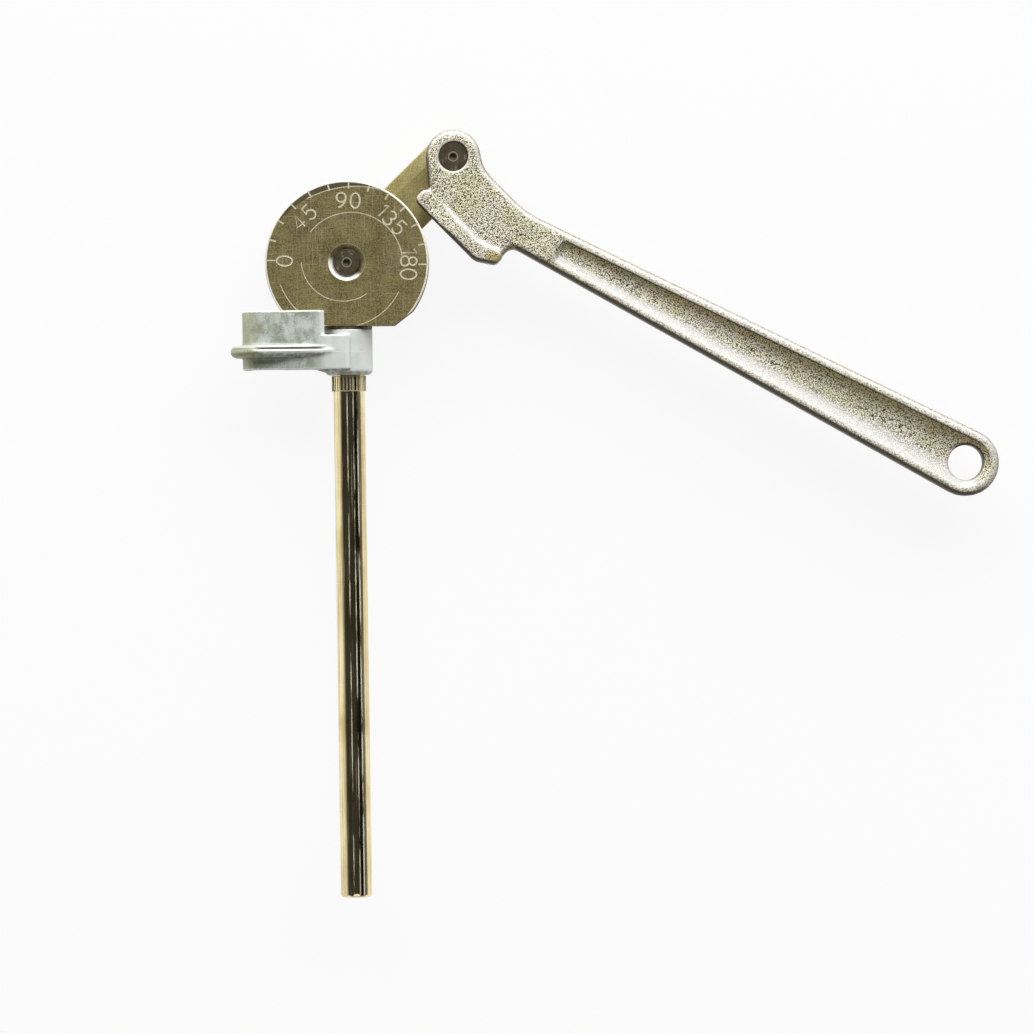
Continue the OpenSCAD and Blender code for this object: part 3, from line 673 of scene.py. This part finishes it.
digitStrokes = {  # in a box 0.62 wide and 1 high
    "0": [bow(0.31, 0.5, 0.31, 0.5, 90, 450, 28)],
    "1": [[(0.0, 0.78), (0.24, 1.0), (0.24, 0.0)]],
    "3": [bow(0.3, 0.745, 0.27, 0.255, 155, -80), bow(0.3, 0.255, 0.31, 0.255, 84, -155)],
    "4": [[(0.46, 0.0), (0.46, 1.0), (0.0, 0.27), (0.64, 0.27)]],
    "5": [[(0.56, 1.0), (0.1, 1.0), (0.05, 0.54)] + bow(0.29, 0.32, 0.31, 0.32, 128, -150)],
    "8": [bow(0.31, 0.75, 0.25, 0.25, -90, 270, 24), bow(0.31, 0.26, 0.31, 0.26, 90, 450, 24)],
    "9": [bow(0.31, 0.69, 0.31, 0.31, 0, 360, 24), bow(0.0, 0.7, 0.62, 0.7, 0, -78)],
}


def dialTicks(w, size):
    index = w.node("GeometryNodeInputIndex")
    half = (size["Count"] - 1) * 0.5
    atEnd = half.math("GREATER_THAN", abs(index - half), half - 0.5)
    stretch = 1 + atEnd * size["End More"]
    angle = size["Start"] - index * size["Step"]
    middle = size["Outer"] - stretch * size["Long"] * 0.5
    place = w.node("ShaderNodeCombineXYZ", {}, {
        "X": middle * angle.math("COSINE", angle), "Y": middle * angle.math("SINE", angle), "Z": size["Face"]})
    points = w.node("GeometryNodeMeshLine", {}, {"Count": size["Count"]})
    points = w.node("GeometryNodeSetPosition", {}, {"Geometry": points, "Position": place})
    bar = w.node("GeometryNodeMeshCube", {}, {"Size": w.node("ShaderNodeCombineXYZ", {}, {
        "X": size["Long"], "Y": size["Wide"], "Z": size["Deep"]})})
    return w.node("GeometryNodeInstanceOnPoints", {}, {
        "Points": points, "Instance": bar,
        "Rotation": w.node("ShaderNodeCombineXYZ", {}, {"Z": angle}),
        "Scale": w.node("ShaderNodeCombineXYZ", {}, {"X": stretch, "Y": 1.0, "Z": 1.0})})


def strokeTubes(name, runs, cutter, material):  # runs of points over the dial's face, as closed round tubes
    radius, lift = cutter
    line = bpy.data.curves.new(name, "CURVE")
    line.dimensions = "3D"
    line.bevel_depth = radius * mm
    line.bevel_resolution = 1
    line.use_fill_caps = True
    for run in runs:
        closed = math.dist(run[0], run[-1]) < dial["closedGap"]
        run = run[:-1] if closed else run
        spline = line.splines.new("POLY")
        spline.points.add(len(run) - 1)
        for point, (x, y) in zip(spline.points, run):
            point.co = (x * mm, y * mm, (dial["face"] + lift) * mm, 1)
        spline.use_cyclic_u = closed
    line.materials.append(material)
    holder = freshObject(name + "_line", line)
    sheet = bpy.context.evaluated_depsgraph_get()
    mesh = bpy.data.meshes.new_from_object(holder.evaluated_get(sheet))
    bpy.data.objects.remove(holder)
    return freshObject(name, mesh)


def turned(run, spin):
    cos, sin = math.cos(spin), math.sin(spin)
    return [(x * cos - y * sin, x * sin + y * cos) for x, y in run]


def numberRuns():
    runs = []
    for text, at, height, gap in dial["numbers"]:
        spin = math.radians(at + dial["turn"] - 90)
        widths = [max(u for stroke in digitStrokes[c] for u, v in stroke) for c in text]
        left = -(sum(widths) + gap * (len(text) - 1)) / 2
        for letter, width in zip(text, widths):
            for stroke in digitStrokes[letter]:
                run = [((u + left) * height, (v - 0.5) * height + dial["numberRadius"]) for u, v in stroke]
                runs.append(turned(run, spin))
            left += width + gap
    return runs


def makeDial():
    ticks = grownMesh("dial_ticks", {
        "Count": dial["tickCount"], "Step": math.radians(dial["tickStep"]), "Start": math.radians(180 + dial["turn"]),
        "Outer": dial["tickOuter"] * mm, "Long": dial["tickLong"] * mm, "Wide": dial["tickWide"] * mm,
        "Deep": dial["tickDeep"] * mm, "Face": dial["face"] * mm, "End More": dial["endTickMore"],
        "Material": markBright}, dialTicks)
    numbers = strokeTubes("dial_numbers", numberRuns(), dial["stroke"], markBright)
    rings = [bow(cx, cy, r, r, a, b, dial["scribeSteps"]) for cx, cy, r, a, b in dial["scribes"]]
    scribes = strokeTubes("dial_scribes", rings, dial["scribe"], markBright)
    plate = coat(mergedCopy("former_dial", "former"), dialPlate)
    for cutter in (ticks, numbers, scribes):
        cut = plate.modifiers.new("cut", "BOOLEAN")
        cut.operation = "DIFFERENCE"
        cut.solver = "EXACT"
        cut.use_self = True
        cut.material_mode = "TRANSFER"
        cut.object = cutter
        settle(plate)
    for cutter in (ticks, numbers, scribes):
        bpy.data.objects.remove(cutter)
    shade(plate, dial["sharpAngle"])
    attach(plate, "frame")
    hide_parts("former")
    print("dial:", len(plate.data.polygons), "faces", [m.name for m in plate.data.materials])


makeDial()

# knurled band: straight ridges round the rod under the hook, in mm
knurl = {"count": 30, "radius": 5.98, "ridge": 0.52, "top": -43.0, "bottom": -48.9, "sharpAngle": 20}
knurlLook = {
    **pinLook, "dark": (0.34, 0.28, 0.17), "brown": (0.80, 0.69, 0.45), "ring": (0.92, 0.85, 0.65), "metal": 0.3,
}


def knurlRidges(w, size):
    index = w.node("GeometryNodeInputIndex")
    points = w.node("GeometryNodeMeshCircle", {}, {"Vertices": size["Count"], "Radius": size["Radius"]})
    bar = w.node("GeometryNodeMeshCylinder", {"fill_type": "NGON"}, {  # four-sided, with one edge outwards
        "Vertices": 4, "Radius": size["Ridge"], "Depth": size["Long"]}, "Mesh")
    ring = w.node("GeometryNodeInstanceOnPoints", {}, {
        "Points": points, "Instance": bar,
        "Rotation": w.node("ShaderNodeCombineXYZ", {}, {"Z": index * size["Step"]})})
    return w.node("GeometryNodeTransform", {}, {
        "Geometry": ring, "Rotation": (math.pi / 2, 0, 0),
        "Translation": w.node("ShaderNodeCombineXYZ", {}, {"Y": size["Middle"]})})


knurlSkin = pinFinish("knurled_band", (0, 0), knurlLook)
ridges = shade(grownMesh("knurl_ridges", {
    "Count": knurl["count"], "Step": math.tau / knurl["count"], "Radius": knurl["radius"] * mm,
    "Ridge": knurl["ridge"] * mm, "Long": (knurl["top"] - knurl["bottom"]) * mm,
    "Middle": (knurl["top"] + knurl["bottom"]) / 2 * mm, "Material": knurlSkin}, knurlRidges), knurl["sharpAngle"])
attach(ridges, "frame")
print("knurl:", len(ridges.data.polygons), "faces")

# castings: the lever and the hook, with soft edges
casting = {"leverVoxel": 0.55 * mm, "leverPasses": 6, "hookVoxel": 0.3 * mm, "hookPasses": 4, "edgePasses": 3}
hollow = {"bend": -0.02, "spread": 3, "gain": 3, "passes": 14}
crease = {
    "height": -32.4 * mm, "half": 0.75 * mm, "start": -37 * mm, "end": -7 * mm, "fade": 5 * mm, "depth": 0.55 * mm,
}
# ways kept for the hook's painted light and shade
hookWays = {"under": -90, "upper": 90, "end": 0}  # degrees about Z

leverCast = soften(mergedCopy("lever_casting", "lever"), casting["leverVoxel"], casting["leverPasses"])
coat(leverCast, castSkin)
markEdges(leverCast, casting["edgePasses"], {"across": castLook["acrossWay"], "left": castLook["leftWay"]})
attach(leverCast, "lever")
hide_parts("lever")

hookCast = soften(mergedCopy("hook_casting", "hook"), casting["hookVoxel"], casting["hookPasses"])
coat(hookCast, zincSkin)
hollowCorners(hookCast, hollow)
pressCrease(hookCast, crease)
markEdges(hookCast, casting["edgePasses"], hookWays)
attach(hookCast, "hook")
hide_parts("hook")
print("castings:", len(leverCast.data.polygons), "and", len(hookCast.data.polygons), "faces")

# link: flat bar with eased edges
link = {"bevel": 0.45 * mm, "segments": 3, "bevelAngle": 40, "sharpAngle": 30}
linkBar = coat(mergedCopy("link_bar", "link_plate"), linkPlate)
ease = linkBar.modifiers.new("ease", "BEVEL")
ease.width = link["bevel"]
ease.segments = link["segments"]
ease.limit_method = "ANGLE"
ease.angle_limit = math.radians(link["bevelAngle"])
shade(settle(linkBar), link["sharpAngle"])
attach(linkBar, "link")
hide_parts("link_plate")
print("link:", len(linkBar.data.polygons), "faces")

# solids that keep their own mesh
for node, skin in {
    "centre_pin": centrePinSkin, "lever_pin": leverPinSkin, "rod_lock_pin": darkSkin, "hook_washer": darkSkin,
    "handle_rod": barSkin, "centre_thrust_washer": washerSkin, "centre_rivet_washer": washerSkin,
    "lever_thrust_washer": washerSkin, "lever_rivet_washer": washerSkin,
}.items():
    coat(nodes[node], skin)
print("pieces dressed")

# floor and light
stage = {
    "floorSize": 12.0, "floorColour": 0.85, "floorGlow": 0.9, "floorGap": 0.05 * mm,
    "grain": (40 * mm, 3), "grainShare": 0.03,
    "keyPower": 50.0, "keySize": (2.6, 1.5), "keyPlace": (0.22, 1.19, 0.62),
    "fillPower": 4.0, "fillSize": (1.0, 1.0), "fillPlace": (0.06, -1.1, 1.2),
    "worldRim": 1.1, "worldTop": 0.05, "upSpan": (0.12, 0.6),
    "worldFront": 0.55, "frontSpan": (-0.7, 0.5), "worldRight": 0.2, "rightSpan": (0.1, 0.7),
}


def floorFinish():
    f = Finish("pale_floor")
    share = stage["grainShare"]
    level = f.noise(*stage["grain"]) * share + (stage["floorColour"] - share / 2)
    tone = f.node("ShaderNodeCombineColor", {}, {"Red": level, "Green": level, "Blue": level})
    matt = f.node("ShaderNodeBsdfDiffuse", {}, {"Color": tone})
    glow = f.node("ShaderNodeEmission", {}, {"Color": (1, 1, 1, 1), "Strength": 1.0})
    seen = f.node("ShaderNodeLightPath", out="Is Camera Ray")
    mirrored = f.node("ShaderNodeLightPath", out="Is Glossy Ray")
    through = f.node("ShaderNodeLightPath", out="Is Transmission Ray")
    white = seen.most(mirrored).most(through) * stage["floorGlow"]
    mixed = f.node("ShaderNodeMixShader", {}, {0: white, 1: matt, 2: glow})
    f.node("ShaderNodeOutputMaterial", {}, {"Surface": mixed})
    return f.material


def makeFloor():
    half = stage["floorSize"] / 2
    low = cadBox[0][2] - stage["floorGap"]
    corners = [(-half, -half, low), (half, -half, low), (half, half, low), (-half, half, low)]
    mesh = bpy.data.meshes.new("floor")
    mesh.from_pydata(corners, [], [(0, 1, 2, 3)])
    coat(freshObject("floor", mesh), floorFinish())


def areaLamp(name, power, size, place, target):
    lamp = bpy.data.lights.new(name, "AREA")
    lamp.shape = "RECTANGLE"
    lamp.size, lamp.size_y = size
    lamp.energy = power
    holder = freshObject(name, lamp)
    holder.location = place
    holder.rotation_euler = (Vector(target) - Vector(place)).to_track_quat("-Z", "Y").to_euler()


def makeWorld():  # bright round the horizon, dark overhead, dimmer to the front and to the right
    world = bpy.data.worlds.new("studio")
    bpy.context.scene.world = world
    world.use_nodes = True
    world.node_tree.nodes.clear()
    w = Wiring(world.node_tree)
    way = w.node("ShaderNodeTexCoord", out="Generated")
    level = w.rise(w.axis("Z", way), *stage["upSpan"], stage["worldRim"], stage["worldTop"])
    front = w.rise(w.axis("Y", way), *stage["frontSpan"], stage["worldFront"], 1.0)
    right = w.rise(w.axis("X", way), *stage["rightSpan"], 1.0, stage["worldRight"])
    sky = w.node("ShaderNodeBackground", {}, {"Color": (1, 1, 1, 1), "Strength": level * front * right})
    w.node("ShaderNodeOutputWorld", {}, {"Surface": sky})


# camera: straight down on the dial, turned a little as the photograph is
view = {
    "middle": (63.03 * mm, -97.48 * mm), "frameWidth": 392.5 * mm, "frameHeight": 6 * mm, "distance": 3.0,
    "turn": -0.86, "sensor": 36.0, "clipEnd": 50,
}


def makeCamera():
    lens = bpy.data.cameras.new("camera")
    lens.sensor_width = view["sensor"]
    lens.lens = view["sensor"] * view["distance"] / view["frameWidth"]
    lens.clip_end = view["clipEnd"]
    holder = freshObject("camera", lens)
    holder.location = (*view["middle"], view["distance"] + view["frameHeight"])
    holder.rotation_euler = (0, 0, math.radians(view["turn"]))
    bpy.context.scene.camera = holder


makeFloor()
middle = (*view["middle"], 0)
areaLamp("key", stage["keyPower"], stage["keySize"], stage["keyPlace"], middle)
areaLamp("fill", stage["fillPower"], stage["fillSize"], stage["fillPlace"], middle)
makeWorld()
makeCamera()
bpy.context.scene.view_settings.view_transform = "Standard"
print("floor, light and camera set")
